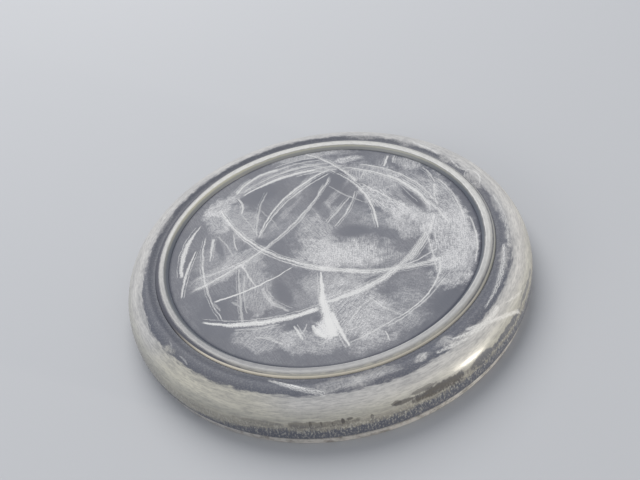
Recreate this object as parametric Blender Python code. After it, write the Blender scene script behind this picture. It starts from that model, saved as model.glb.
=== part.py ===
"""Turned black disc template: a thick disc with a rounded shoulder, a raised ring, a flat
face plate inside the ring and a thin base plate.

Metres, +Z up. The origin is the centre of the underside, on the surface the disc lies on.
Every piece is turned about the Z axis. Run it with blender --background --python part.py.
"""

import math

import bpy

# Driving dimensions
OUTER_RADIUS = 0.0600
BODY_TOP = 0.0139
FIT_GAP = 0.0003
TURN_STEPS = 96

# Base plate, whose edge is the pale lip
BASE_RADIUS = 0.0594
BASE_THICKNESS = 0.0017
LIP_ROUND = 0.0005
SPIGOT_RADIUS = 0.0400
SPIGOT_HEIGHT = 0.0015

# Side and shoulder of the body, over the groove above the lip
GROOVE_RADIUS = 0.0588
GROOVE_TOP = 0.0023
FLARE_TOP = 0.0032
SIDE_TOP = 0.0048
CREST_RADIUS = 0.0525
SHOULDER_POINTS = 14

# Cove between the shoulder and the ring
COVE_HEIGHT = 0.0130
COVE_EDGE = 0.0508
COVE_POINTS = 5

# Ring
RING_OUTER = 0.0498
RING_INNER = 0.0461
RING_CREST = 0.0139
RING_CREST_RADIUS = 0.0484
RING_ARRIS_RADIUS = 0.0471
RING_ARRIS_HEIGHT = 0.01375
RING_FOOT_HEIGHT = 0.0130
RING_POINTS = 6

# Face plate
FACE_TOP = 0.0124
FACE_THICKNESS = 0.0022
FACE_CHAMFER = 0.0003

SEAT_FLOOR = FACE_TOP - FACE_THICKNESS - FIT_GAP


def clear_scene():
    """Removes whatever the scene holds."""
    for thing in list(bpy.data.objects):
        bpy.data.objects.remove(thing, do_unlink=True)


def finish_material(name, colour, roughness, metallic=0.0):
    """A Principled material of one colour."""
    material = bpy.data.materials.new(name)
    material.use_nodes = True
    shader = material.node_tree.nodes["Principled BSDF"]
    shader.inputs["Base Color"].default_value = (*colour, 1.0)
    shader.inputs["Roughness"].default_value = roughness
    shader.inputs["Metallic"].default_value = metallic
    return material


def quarter_round(centre, across, up, start, end, count):
    """Points of an ellipse about centre, from one angle to another, both ends included."""
    step = (end - start) / (count - 1)
    angles = [start + step * index for index in range(count)]
    return [(centre[0] + across * math.cos(a), centre[1] + up * math.sin(a)) for a in angles]


def smooth_rise(inner, outer, count):
    """Points of an S curve from inner to outer, level at both ends, without the two ends."""
    points = []
    for index in range(1, count + 1):
        along = index / (count + 1)
        share = 0.5 - 0.5 * math.cos(math.pi * along)
        radius = inner[0] + (outer[0] - inner[0]) * along
        points.append((radius, inner[1] + (outer[1] - inner[1]) * share))
    return points


def turned(name, profile, closed, material):
    """Turns a profile about Z. It runs down the outer side, and a ring's profile is closed."""
    corners = [(radius, 0.0, height) for radius, height in profile]
    edges = [(index, index + 1) for index in range(len(corners) - 1)]
    if closed:
        edges.append((len(corners) - 1, 0))
    mesh = bpy.data.meshes.new(name)
    mesh.from_pydata(corners, edges, [])
    mesh.materials.append(material)
    piece = bpy.data.objects.new(name, mesh)
    bpy.context.scene.collection.objects.link(piece)
    screw = piece.modifiers.new("turn", "SCREW")
    screw.axis = "Z"
    screw.angle = 2 * math.pi
    screw.steps = TURN_STEPS
    screw.render_steps = TURN_STEPS
    screw.use_merge_vertices = True
    screw.merge_threshold = 0.00001
    screw.use_smooth_shade = True
    return piece


def body_profile():
    """From the middle of the top seat, over the cove and the shoulder, to the lower seat."""
    seat_radius = RING_OUTER + FIT_GAP
    side_foot = (GROOVE_RADIUS, BASE_THICKNESS + FIT_GAP)
    spigot_seat_radius = SPIGOT_RADIUS + FIT_GAP
    spigot_seat_height = BASE_THICKNESS + SPIGOT_HEIGHT + FIT_GAP
    shoulder_centre = (CREST_RADIUS, SIDE_TOP)
    across = OUTER_RADIUS - CREST_RADIUS
    up = BODY_TOP - SIDE_TOP
    profile = [(0.0, SEAT_FLOOR), (seat_radius, SEAT_FLOOR)]
    profile += [(seat_radius, COVE_HEIGHT), (COVE_EDGE, COVE_HEIGHT)]
    profile += smooth_rise((COVE_EDGE, COVE_HEIGHT), (CREST_RADIUS, BODY_TOP), COVE_POINTS)
    profile += quarter_round(shoulder_centre, across, up, math.pi / 2, 0.0, SHOULDER_POINTS)
    profile += [(OUTER_RADIUS, FLARE_TOP), (GROOVE_RADIUS, GROOVE_TOP), side_foot]
    profile += [(spigot_seat_radius, side_foot[1]), (spigot_seat_radius, spigot_seat_height)]
    profile += [(0.0, spigot_seat_height)]
    return profile


def ring_profile():
    """A ring with a crowned top: an arris inside, a round edge outside. Closed, clockwise."""
    bottom = SEAT_FLOOR + FIT_GAP
    crown_centre = (RING_CREST_RADIUS, RING_FOOT_HEIGHT)
    across = RING_OUTER - RING_CREST_RADIUS
    up = RING_CREST - RING_FOOT_HEIGHT
    profile = [(RING_INNER, FACE_TOP), (RING_ARRIS_RADIUS, RING_ARRIS_HEIGHT)]
    profile += quarter_round(crown_centre, across, up, math.pi / 2, 0.0, RING_POINTS)
    profile += [(RING_OUTER, bottom), (RING_INNER, bottom)]
    return profile


def face_profile():
    """A flat plate with a small chamfer round its top edge."""
    edge = RING_INNER - FIT_GAP
    bottom = FACE_TOP - FACE_THICKNESS
    profile = [(0.0, FACE_TOP), (edge - FACE_CHAMFER, FACE_TOP)]
    profile += [(edge, FACE_TOP - FACE_CHAMFER), (edge, bottom), (0.0, bottom)]
    return profile


def base_profile():
    """A thin plate with a rounded edge and a low spigot that centres it in the body."""
    spigot_top = BASE_THICKNESS + SPIGOT_HEIGHT
    centre_line = BASE_RADIUS - LIP_ROUND
    upper = (centre_line, BASE_THICKNESS - LIP_ROUND)
    lower = (centre_line, LIP_ROUND)
    profile = [(0.0, spigot_top), (SPIGOT_RADIUS, spigot_top), (SPIGOT_RADIUS, BASE_THICKNESS)]
    profile += quarter_round(upper, LIP_ROUND, LIP_ROUND, math.pi / 2, 0.0, 4)
    profile += quarter_round(lower, LIP_ROUND, LIP_ROUND, 0.0, -math.pi / 2, 4)
    profile += [(0.0, 0.0)]
    return profile


def build():
    """Makes the four pieces."""
    clear_scene()
    ebonite = finish_material("black_ebonite", (0.045, 0.048, 0.055), 0.45)
    rubbed = finish_material("rubbed_ebonite", (0.30, 0.30, 0.28), 0.50)
    face = finish_material("scuffed_face", (0.11, 0.11, 0.12), 0.50)
    lip = finish_material("pale_lip", (0.24, 0.23, 0.21), 0.60)
    turned("disc_body", body_profile(), False, ebonite)
    turned("bead_ring", ring_profile(), True, rubbed)
    turned("face_plate", face_profile(), False, face)
    turned("base_plate", base_profile(), False, lip)


build()
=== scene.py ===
import math
import bpy
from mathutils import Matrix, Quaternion, Vector


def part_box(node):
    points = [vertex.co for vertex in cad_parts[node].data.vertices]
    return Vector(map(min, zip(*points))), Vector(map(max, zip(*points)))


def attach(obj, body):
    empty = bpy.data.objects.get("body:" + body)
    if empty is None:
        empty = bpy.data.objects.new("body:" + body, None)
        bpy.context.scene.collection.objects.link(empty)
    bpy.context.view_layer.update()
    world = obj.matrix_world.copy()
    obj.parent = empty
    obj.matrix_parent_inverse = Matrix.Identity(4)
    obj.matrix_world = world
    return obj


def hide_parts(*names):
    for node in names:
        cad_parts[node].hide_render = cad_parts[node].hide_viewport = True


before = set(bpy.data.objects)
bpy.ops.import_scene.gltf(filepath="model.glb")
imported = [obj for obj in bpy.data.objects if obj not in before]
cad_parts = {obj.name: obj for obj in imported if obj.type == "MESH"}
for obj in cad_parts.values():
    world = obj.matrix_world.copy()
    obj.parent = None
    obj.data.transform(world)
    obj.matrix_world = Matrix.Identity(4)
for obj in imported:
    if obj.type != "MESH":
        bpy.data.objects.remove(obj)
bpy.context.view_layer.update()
print("frame loaded:", ", ".join(sorted(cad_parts)))

millimetre = 0.001
bodyLow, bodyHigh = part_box("disc_body")
ringLow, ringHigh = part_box("bead_ring")
faceLow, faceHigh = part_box("face_plate")
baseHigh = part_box("base_plate")[1]
turnSegments = 384


def deselectAll():
    if bpy.context.mode != "OBJECT":
        bpy.ops.object.mode_set(mode="OBJECT")
    bpy.ops.object.select_all(action="DESELECT")


def ellipsePoints(centre, across, up, start, end, steps):
    # part of an ellipse, between two angles in degrees
    points = []
    for index in range(steps + 1):
        angle = math.radians(start + (end - start) * index / steps)
        points.append((centre[0] + across * math.cos(angle), centre[1] + up * math.sin(angle)))
    return points


def easePoints(start, end, steps):
    # an S curve that leaves and arrives level
    points = []
    for index in range(steps + 1):
        along = index / steps
        share = 0.5 - 0.5 * math.cos(math.pi * along)
        points.append((start[0] + (end[0] - start[0]) * along, start[1] + (end[1] - start[1]) * share))
    return points


def turnOnLathe(name, outline):
    # a single point is pushed along the outline, then spun round the Z axis
    deselectAll()
    bpy.ops.mesh.primitive_plane_add(size=millimetre, location=(0, 0, 0))
    piece = bpy.context.active_object
    piece.name = name
    piece.data.name = name
    bpy.ops.object.mode_set(mode="EDIT")
    bpy.ops.mesh.select_all(action="SELECT")
    bpy.ops.mesh.merge(type="CENTER")
    bpy.ops.transform.translate(value=(outline[0][0], 0, outline[0][1]))
    for before, after in zip(outline, outline[1:]):
        step = (after[0] - before[0], 0, after[1] - before[1])
        if math.hypot(step[0], step[2]) > 0.000002:
            bpy.ops.mesh.extrude_region_move(TRANSFORM_OT_translate={"value": step})
    bpy.ops.mesh.select_all(action="SELECT")
    bpy.ops.mesh.remove_doubles(threshold=0.000001)
    bpy.ops.mesh.spin(steps=turnSegments, angle=2 * math.pi, center=(0, 0, 0), axis=(0, 0, 1))
    bpy.ops.mesh.select_all(action="SELECT")
    bpy.ops.mesh.remove_doubles(threshold=0.000001)
    bpy.ops.mesh.normals_make_consistent(inside=False)
    bpy.ops.object.mode_set(mode="OBJECT")
    bpy.ops.object.shade_smooth_by_angle(angle=math.radians(30))
    return piece


# the thick body: cove, shoulder, side, and the seats over and under it
bodyShape = {
    "crestRadius": 0.0525,     # where the shoulder is highest
    "sideTop": 0.0048,         # the shoulder rolls over from here
    "flareTop": 0.0032,        # below this the side leans in to the groove over the lip
    "flareEase": 0.0003,
    "flareIn": 0.00004,
    "grooveRadius": 0.0588,
    "grooveTop": 0.0023,
    "grooveRound": 0.00008,
    "coveHeight": 0.0130,
    "coveEdge": 0.0500,        # the cove is level from the ring out to here
    "seam": 0.00005,           # hairline round the ring
    "seamEdge": 0.00006,
    "footChamfer": 0.0001,
    "seatGap": 0.0003,         # between the seat and the pieces that stand in it
    "spigotHole": 0.0403,      # takes the low spigot of the plate underneath
    "spigotDepth": 0.0015,
}


def makeBody():
    shape = bodyShape
    outer = bodyHigh.x
    top = bodyHigh.z
    seatRadius = ringHigh.x + shape["seam"]
    seatFloor = ringLow.z - shape["seatGap"]
    crest = (shape["crestRadius"], top)
    coveStart = (seatRadius + shape["seamEdge"], shape["coveHeight"])
    coveEnd = (shape["coveEdge"], shape["coveHeight"])
    outline = [(0, seatFloor), (seatRadius, seatFloor)]
    outline += [(seatRadius, shape["coveHeight"] - shape["seamEdge"]), coveStart]
    outline += easePoints(coveEnd, crest, 14)
    across = outer - shape["crestRadius"]
    up = top - shape["sideTop"]
    outline += ellipsePoints((shape["crestRadius"], shape["sideTop"]), across, up, 90, 0, 40)[1:]
    outline += [(outer, shape["flareTop"] + shape["flareEase"])]
    outline += [(outer - shape["flareIn"], shape["flareTop"])]
    foot = shape["grooveRadius"]
    outline += [(foot + 0.00015, shape["grooveTop"] + shape["grooveRound"])]
    outline += [(foot, shape["grooveTop"] - shape["grooveRound"])]
    outline += [(foot, bodyLow.z + shape["footChamfer"]), (foot - shape["footChamfer"], bodyLow.z)]
    holeTop = bodyLow.z + shape["spigotDepth"]
    outline += [(shape["spigotHole"], bodyLow.z), (shape["spigotHole"], holeTop), (0, holeTop)]
    return turnOnLathe("turnedBody", outline)


# the raised ring: an arris inside, a crown, and a round outer slope
ringShape = {
    "innerRadius": 0.0461,
    "arrisRadius": 0.0471,
    "arrisHeight": 0.01374,
    "arrisProfile": ((-0.00008, -0.00012), (-0.00002, -0.00002), (0.0001, 0.00003)),
    "innerChamfer": 0.00012,
    "rebate": 0.0001,          # the ring starts this far below the top of the face plate
    "crownRadius": 0.0484,
    "footHeight": 0.0130,
}


def makeRing():
    shape = ringShape
    inner, outer = shape["innerRadius"], ringHigh.x
    start = (inner, faceHigh.z - shape["rebate"])
    outline = [start, (inner + shape["innerChamfer"], faceHigh.z + shape["innerChamfer"])]
    outline += [(shape["arrisRadius"] + out, shape["arrisHeight"] + up) for out, up in shape["arrisProfile"]]
    crown = (shape["crownRadius"], shape["footHeight"])
    across = outer - shape["crownRadius"]
    up = ringHigh.z - shape["footHeight"]
    outline += ellipsePoints(crown, across, up, 112, 0, 28)
    outline += [(outer, ringLow.z), (inner, ringLow.z), start]
    return turnOnLathe("raisedRing", outline)


# the flat plate inside the ring, dished very slightly down at its edge
faceShape = {
    "edgeGap": 0.00005,
    "edgeDrop": 0.00010,
    "edgeRound": 0.0001,
    "dropStart": 0.0415,
    "levelRings": (0.010, 0.020, 0.030),
}


def makeFace():
    shape = faceShape
    edge = ringShape["innerRadius"] - shape["edgeGap"]
    outline = [(0, faceHigh.z)] + [(radius, faceHigh.z) for radius in shape["levelRings"]]
    rim = (edge - 2 * shape["edgeRound"], faceHigh.z - shape["edgeDrop"])
    outline += easePoints((shape["dropStart"], faceHigh.z), rim, 8)
    outline += [(edge, rim[1] - shape["edgeRound"]), (edge, faceLow.z), (0, faceLow.z)]
    return turnOnLathe("scuffedFace", outline)


# the thin plate underneath: its rounded edge is the pale lip
baseShape = {
    "lipRound": 0.0005,
    "spigotRadius": 0.0400,
    "spigotRise": 0.0015,
    "topGap": 0.0001,
}


def makeBase():
    shape = baseShape
    radius = baseHigh.x
    rounding = shape["lipRound"]
    top = baseHigh.z - shape["spigotRise"]
    spigotTop = baseHigh.z - shape["topGap"]
    outline = [(0, spigotTop), (shape["spigotRadius"], spigotTop)]
    outline += [(shape["spigotRadius"], top)]
    outline += ellipsePoints((radius - rounding, top - rounding), rounding, rounding, 90, 0, 8)
    outline += ellipsePoints((radius - rounding, rounding), rounding, rounding, 0, -90, 8)
    outline += [(0.030, 0), (0.010, 0), (0, 0)]
    return turnOnLathe("lippedBase", outline)


body = makeBody()
ring = makeRing()
face = makeFace()
base = makeBase()
print("pieces turned")


def calc(tree, operation, *terms):
    node = tree.nodes.new("ShaderNodeMath")
    node.operation = operation
    for socket, term in zip(node.inputs, terms):
        if isinstance(term, (int, float)):
            socket.default_value = term
        else:
            tree.links.new(term, socket)
    return node.outputs["Value"]


def ramp(tree, value, low, high, atLow=0.0, atHigh=1.0):
    # a smooth change from atLow to atHigh as value goes from low to high
    node = tree.nodes.new("ShaderNodeMapRange")
    node.interpolation_type = "SMOOTHSTEP"
    node.clamp = False   # this curve never passes its ends
    for name, term in (("Value", value), ("From Min", low), ("From Max", high),
                       ("To Min", atLow), ("To Max", atHigh)):
        if isinstance(term, (int, float)):
            node.inputs[name].default_value = term
        else:
            tree.links.new(term, node.inputs[name])
    return node.outputs["Result"]


def vectorCalc(tree, operation, first, second=None, scale=None):
    node = tree.nodes.new("ShaderNodeVectorMath")
    node.operation = operation
    for socket, term in ((node.inputs[0], first), (node.inputs[1], second)):
        if term is None:
            continue
        if isinstance(term, (tuple, list)):
            socket.default_value = term
        else:
            tree.links.new(term, socket)
    if scale is not None:
        node.inputs["Scale"].default_value = scale
    return node.outputs["Value" if operation in ("LENGTH", "DOT_PRODUCT") else "Vector"]


def noise(tree, vector, scale, detail=2.0, roughness=0.5, dimensions="3D"):
    node = tree.nodes.new("ShaderNodeTexNoise")
    node.noise_dimensions = dimensions
    node.inputs["Scale"].default_value = scale
    node.inputs["Detail"].default_value = detail
    node.inputs["Roughness"].default_value = roughness
    tree.links.new(vector, node.inputs["Vector"])
    return node


def blendColour(tree, share, first, second):
    node = tree.nodes.new("ShaderNodeMix")
    node.data_type = "RGBA"
    tree.links.new(share, node.inputs["Factor"])
    for socket, term in ((node.inputs["A"], first), (node.inputs["B"], second)):
        if isinstance(term, (tuple, list)):
            socket.default_value = term
        else:
            tree.links.new(term, socket)
    return node.outputs["Result"]


def startGroup(name, inputs, outputs):
    group = bpy.data.node_groups.new(name, "ShaderNodeTree")
    for label, kind in inputs:
        group.interface.new_socket(name=label, in_out="INPUT", socket_type=kind)
    for label, kind in outputs:
        group.interface.new_socket(name=label, in_out="OUTPUT", socket_type=kind)
    entry = group.nodes.new("NodeGroupInput")
    leave = group.nodes.new("NodeGroupOutput")
    return group, entry.outputs, leave.inputs


floatSocket = "NodeSocketFloat"
vectorSocket = "NodeSocketVector"


def turned(group, vector, angle):
    # the vector turned back round Z by an angle
    turn = group.nodes.new("ShaderNodeVectorRotate")
    turn.rotation_type = "Z_AXIS"
    group.links.new(vector, turn.inputs["Vector"])
    group.links.new(calc(group, "MULTIPLY", angle, -1.0), turn.inputs["Angle"])
    return turn.outputs["Vector"]


def makeRubStroke():
    # one sweep of another disc's edge: an arc whose width changes from its start to its end,
    # combed into fine lines that run with it
    group, given, result = startGroup("rubStroke", (
        ("Place", vectorSocket), ("Centre", vectorSocket), ("Outward", vectorSocket),
        ("Onward", vectorSocket), ("Radius", floatSocket), ("Reach", floatSocket),
        ("Start Width", floatSocket), ("Width", floatSocket), ("End Width", floatSocket),
        ("Combing", floatSocket), ("Strength", floatSocket), ("Wander", floatSocket),
        ("Grit", floatSocket), ("Below", floatSocket)), (("Mask", floatSocket),))
    local = vectorCalc(group, "SUBTRACT", given["Place"], given["Centre"])
    distance = calc(group, "SUBTRACT", vectorCalc(group, "LENGTH", local), given["Radius"])
    angle = calc(group, "ARCTAN2", vectorCalc(group, "DOT_PRODUCT", local, given["Onward"]),
                 vectorCalc(group, "DOT_PRODUCT", local, given["Outward"]))
    along = calc(group, "DIVIDE", angle, given["Reach"])
    early = ramp(group, along, -1.0, 0.0, 1.0, 0.0)
    late = ramp(group, along, 0.0, 1.0)
    startChange = calc(group, "SUBTRACT", given["Start Width"], given["Width"])
    endChange = calc(group, "SUBTRACT", given["End Width"], given["Width"])
    width = calc(group, "MULTIPLY_ADD", early, startChange, given["Width"])
    width = calc(group, "MULTIPLY_ADD", late, endChange, width)
    # lines that run with the arc, bent and broken by the noise that all the strokes share
    phase = calc(group, "MULTIPLY_ADD", given["Wander"], 16.0, given["Radius"])
    phase = calc(group, "MULTIPLY_ADD", distance, 10.5, phase)
    comb = calc(group, "MULTIPLY_ADD", calc(group, "SINE", phase), 0.20, given["Grit"])
    streak = ramp(group, comb, 0.34, 0.58, calc(group, "SUBTRACT", 1.0, given["Combing"]), 1.0)
    ragged = calc(group, "MULTIPLY", calc(group, "SUBTRACT", given["Grit"], 0.5),
                  calc(group, "MULTIPLY", width, 0.7))
    line = ramp(group, calc(group, "ADD", calc(group, "ABSOLUTE", distance), ragged),
                calc(group, "MULTIPLY", width, 0.20), calc(group, "MULTIPLY", width, 0.60), 1.0, 0.0)
    ends = ramp(group, calc(group, "ABSOLUTE", along), 0.9, 1.0, 1.0, 0.0)
    shown = calc(group, "MULTIPLY", calc(group, "MULTIPLY", line, streak),
                 calc(group, "MULTIPLY", ends, given["Strength"]))
    group.links.new(calc(group, "MAXIMUM", shown, given["Below"]), result["Mask"])
    return group


def makeRubCloud():
    # a cloudy patch with a ragged edge, filled with hatching
    group, given, result = startGroup("rubCloud", (
        ("Place", vectorSocket), ("Centre", vectorSocket), ("Size", vectorSocket),
        ("Turn", floatSocket), ("Softness", floatSocket), ("Wander", floatSocket),
        ("Hatch", floatSocket), ("Strength", floatSocket), ("Below", floatSocket)), (("Mask", floatSocket),))
    local = turned(group, vectorCalc(group, "SUBTRACT", given["Place"], given["Centre"]), given["Turn"])
    shape = vectorCalc(group, "LENGTH", vectorCalc(group, "DIVIDE", local, given["Size"]))
    edge = calc(group, "ADD", shape, calc(group, "SUBTRACT", given["Wander"], 0.5))
    inside = ramp(group, edge, calc(group, "SUBTRACT", 1.0, given["Softness"]), 1.05, 1.0, 0.0)
    shown = calc(group, "MULTIPLY", calc(group, "MULTIPLY", inside, given["Hatch"]), given["Strength"])
    clear = calc(group, "MULTIPLY", calc(group, "SUBTRACT", 1.0, shown),
                 calc(group, "SUBTRACT", 1.0, given["Below"]))
    group.links.new(calc(group, "SUBTRACT", 1.0, clear), result["Mask"])
    return group


def makeHatching():
    # fine scratches in one direction, crossed by fainter ones
    group, given, result = startGroup("hatching", (
        ("Place", vectorSocket), ("Turn", floatSocket), ("Low", floatSocket)), (("Hatch", floatSocket),))
    local = turned(group, given["Place"], given["Turn"])
    along = vectorCalc(group, "MULTIPLY", local, (0.34, 3.0, 1.0))
    across = vectorCalc(group, "MULTIPLY", local, (2.6, 0.9, 1.0))
    first = noise(group, along, 1.0, 3.0, 0.7, "2D")
    second = noise(group, across, 1.0, 2.0, 0.6, "2D")
    both = calc(group, "MULTIPLY_ADD", first.outputs["Fac"], 0.62,
                calc(group, "MULTIPLY", second.outputs["Fac"], 0.38))
    group.links.new(ramp(group, both, 0.39, 0.61, given["Low"], 1.0), result["Hatch"])
    return group


def makePolarPlace():
    # where a point lies round the disc: distance from the axis, height, and a vector that
    # follows the rim without a seam
    group, given, result = startGroup("polarPlace", (("Place", vectorSocket),), (
        ("Radius", floatSocket), ("Height", floatSocket), ("Round", vectorSocket)))
    split = group.nodes.new("ShaderNodeSeparateXYZ")
    group.links.new(given["Place"], split.inputs["Vector"])
    flat = vectorCalc(group, "MULTIPLY", given["Place"], (1.0, 1.0, 0.0))
    group.links.new(vectorCalc(group, "LENGTH", flat), result["Radius"])
    group.links.new(split.outputs["Z"], result["Height"])
    group.links.new(vectorCalc(group, "NORMALIZE", flat), result["Round"])
    return group


def makeTurnedLines():
    # fine concentric lines left by the turning tool, slightly broken round the disc
    group, given, result = startGroup("turnedLines", (
        ("Radius", floatSocket), ("Height", floatSocket), ("Round", vectorSocket),
        ("Pitch", floatSocket)), (("Line", floatSocket),))
    across = calc(group, "ADD", given["Radius"], calc(group, "MULTIPLY", given["Height"], 0.8))
    joined = vectorCalc(group, "SCALE", given["Round"], scale=0.55)
    split = group.nodes.new("ShaderNodeSeparateXYZ")
    group.links.new(joined, split.inputs["Vector"])
    place = group.nodes.new("ShaderNodeCombineXYZ")
    group.links.new(split.outputs["X"], place.inputs["X"])
    group.links.new(split.outputs["Y"], place.inputs["Y"])
    group.links.new(calc(group, "DIVIDE", across, given["Pitch"]), place.inputs["Z"])
    lines = noise(group, place.outputs["Vector"], 1.0, 3.0, 0.6)
    group.links.new(lines.outputs["Fac"], result["Line"])
    return group


def makeFineGrain():
    # the close grain of worn hard rubber, with a few larger clouds
    group, given, result = startGroup("fineGrain", (
        ("Place", vectorSocket),), (("Grain", floatSocket), ("Cloud", floatSocket)))
    group.links.new(noise(group, given["Place"], 3.2, 4.0, 0.65).outputs["Fac"], result["Grain"])
    group.links.new(noise(group, given["Place"], 0.07, 3.0, 0.55).outputs["Fac"], result["Cloud"])
    return group


rubStroke = makeRubStroke()
rubCloud = makeRubCloud()
hatching = makeHatching()
polarPlace = makePolarPlace()
turnedLines = makeTurnedLines()
fineGrain = makeFineGrain()
print("shared effects built")


def placeGroup(tree, group, **values):
    # an input is either linked, when a socket is given, or set
    node = tree.nodes.new("ShaderNodeGroup")
    node.node_tree = group
    for label, value in values.items():
        socket = node.inputs[label.replace("_", " ")]
        if isinstance(value, bpy.types.NodeSocket):
            tree.links.new(value, socket)
        else:
            socket.default_value = value
    return node


def arcThrough(first, middle, last):
    # the circle through three points, and the angles that the arc runs between
    ax, ay = first
    bx, by = middle
    cx, cy = last
    double = 2 * (ax * (by - cy) + bx * (cy - ay) + cx * (ay - by))
    a, b, c = ax * ax + ay * ay, bx * bx + by * by, cx * cx + cy * cy
    centreX = (a * (by - cy) + b * (cy - ay) + c * (ay - by)) / double
    centreY = (a * (cx - bx) + b * (ax - cx) + c * (bx - ax)) / double
    start, through, end = (math.atan2(y - centreY, x - centreX) for x, y in (first, middle, last))
    through = start + (through - start + math.pi) % (2 * math.pi) - math.pi
    end = through + (end - through + math.pi) % (2 * math.pi) - math.pi
    radius = math.hypot(ax - centreX, ay - centreY)
    return (centreX, centreY), radius, start, end


def sweep(first, middle, last, widths, strength, combing=0.6):
    return {"points": (first, middle, last), "widths": widths, "strength": strength, "combing": combing}


def dustPatch(centre, size, turn, strength, hatch=0, softness=0.6):
    return {"centre": centre, "size": size, "turn": turn, "strength": strength, "hatch": hatch,
            "softness": softness}


def addStroke(tree, place, below, stroke, wander, grit):
    centre, radius, start, end = arcThrough(*stroke["points"])
    widths = stroke["widths"]
    if end < start:
        start, end = end, start
        widths = widths[::-1]
    middle = (start + end) / 2
    outward = (math.cos(middle), math.sin(middle), 0.0)
    onward = (-math.sin(middle), math.cos(middle), 0.0)
    node = placeGroup(tree, rubStroke, Place=place, Centre=(*centre, 0.0), Outward=outward, Onward=onward,
                      Radius=radius, Reach=(end - start) / 2, Start_Width=widths[0], Width=widths[1],
                      End_Width=widths[2], Combing=stroke["combing"],
                      Strength=stroke["strength"], Wander=wander, Grit=grit, Below=below)
    return node.outputs["Mask"]


def besideStroke(stroke, side):
    # a thinner sweep that runs next to a broad one
    (ax, ay), middle, (cx, cy) = stroke["points"]
    length = math.hypot(cx - ax, cy - ay)
    offset = side * (0.55 * stroke["widths"][1] + 0.3)
    shiftX, shiftY = -(cy - ay) / length * offset, (cx - ax) / length * offset
    first, second, third = ((x + shiftX, y + shiftY) for x, y in ((ax, ay), middle, (cx, cy)))
    return sweep(first, second, third, (0.25, 0.45, 0.3), stroke["strength"] * 0.6, combing=0.8)


def addCloud(tree, place, below, cloud, wander, hatches):
    node = placeGroup(tree, rubCloud, Place=place, Centre=(*cloud["centre"], 0.0),
                      Size=(*cloud["size"], 1.0), Turn=math.radians(cloud["turn"]),
                      Softness=cloud["softness"], Wander=wander,
                      Hatch=hatches[cloud["hatch"]], Strength=cloud["strength"], Below=below)
    return node.outputs["Mask"]


def startMaterial(name):
    material = bpy.data.materials.new(name)
    material.use_nodes = True
    tree = material.node_tree
    shader = tree.nodes["Principled BSDF"]
    coordinates = tree.nodes.new("ShaderNodeTexCoord")
    place = vectorCalc(tree, "SCALE", coordinates.outputs["Object"], scale=1000.0)   # in millimetres
    return material, tree, shader, place


def strongest(tree, masks):
    total = masks[0]
    for mask in masks[1:]:
        total = calc(tree, "MAXIMUM", total, mask)
    return total


def addBump(tree, shader, height, strength, distance):
    bump = tree.nodes.new("ShaderNodeBump")
    bump.inputs["Strength"].default_value = strength
    bump.inputs["Distance"].default_value = distance
    tree.links.new(height, bump.inputs["Height"])
    tree.links.new(bump.outputs["Normal"], shader.inputs["Normal"])


def mixedRelief(tree, grain, lines, grainShare):
    # grain and turned lines, together one part high
    lineShare = calc(tree, "MULTIPLY", lines.outputs["Line"], 1.0 - grainShare)
    return calc(tree, "MULTIPLY_ADD", grain.outputs["Grain"], grainShare, lineShare)


# colours of the hard rubber and of what rubbing leaves on it, and painted light: a painted warm sheen and
# painted shade on the shoulder, a painted reflection on its bare patches, painted highlights and painted
# light on the ring
blackTone = (0.062, 0.073, 0.104, 1.0)
blackToneWarm = (0.082, 0.084, 0.106, 1.0)
underTone = (0.080, 0.086, 0.110, 1.0)
hazeTone = (0.66, 0.655, 0.655, 1.0)
strokeAndHighlightTone = (0.73, 0.725, 0.71, 1.0)
powderTone = (0.60, 0.590, 0.572, 1.0)
greenTone = (0.50, 0.49, 0.435, 1.0)
warmTone = (0.62, 0.59, 0.48, 1.0)
oliveTone = (0.27, 0.253, 0.21, 1.0)
bareReflectionTone = (0.085, 0.076, 0.066, 1.0)
ringTone = (0.56, 0.555, 0.53, 1.0)
wallTone = (0.125, 0.138, 0.165, 1.0)
wallToneFar = (0.30, 0.305, 0.30, 1.0)
wallToneHigh = (0.50, 0.49, 0.40, 1.0)
lipTone = (0.44, 0.425, 0.41, 1.0)
footHighlightTone = (0.88, 0.80, 0.64, 1.0)
lipToneDark = (0.20, 0.19, 0.18, 1.0)

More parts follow.
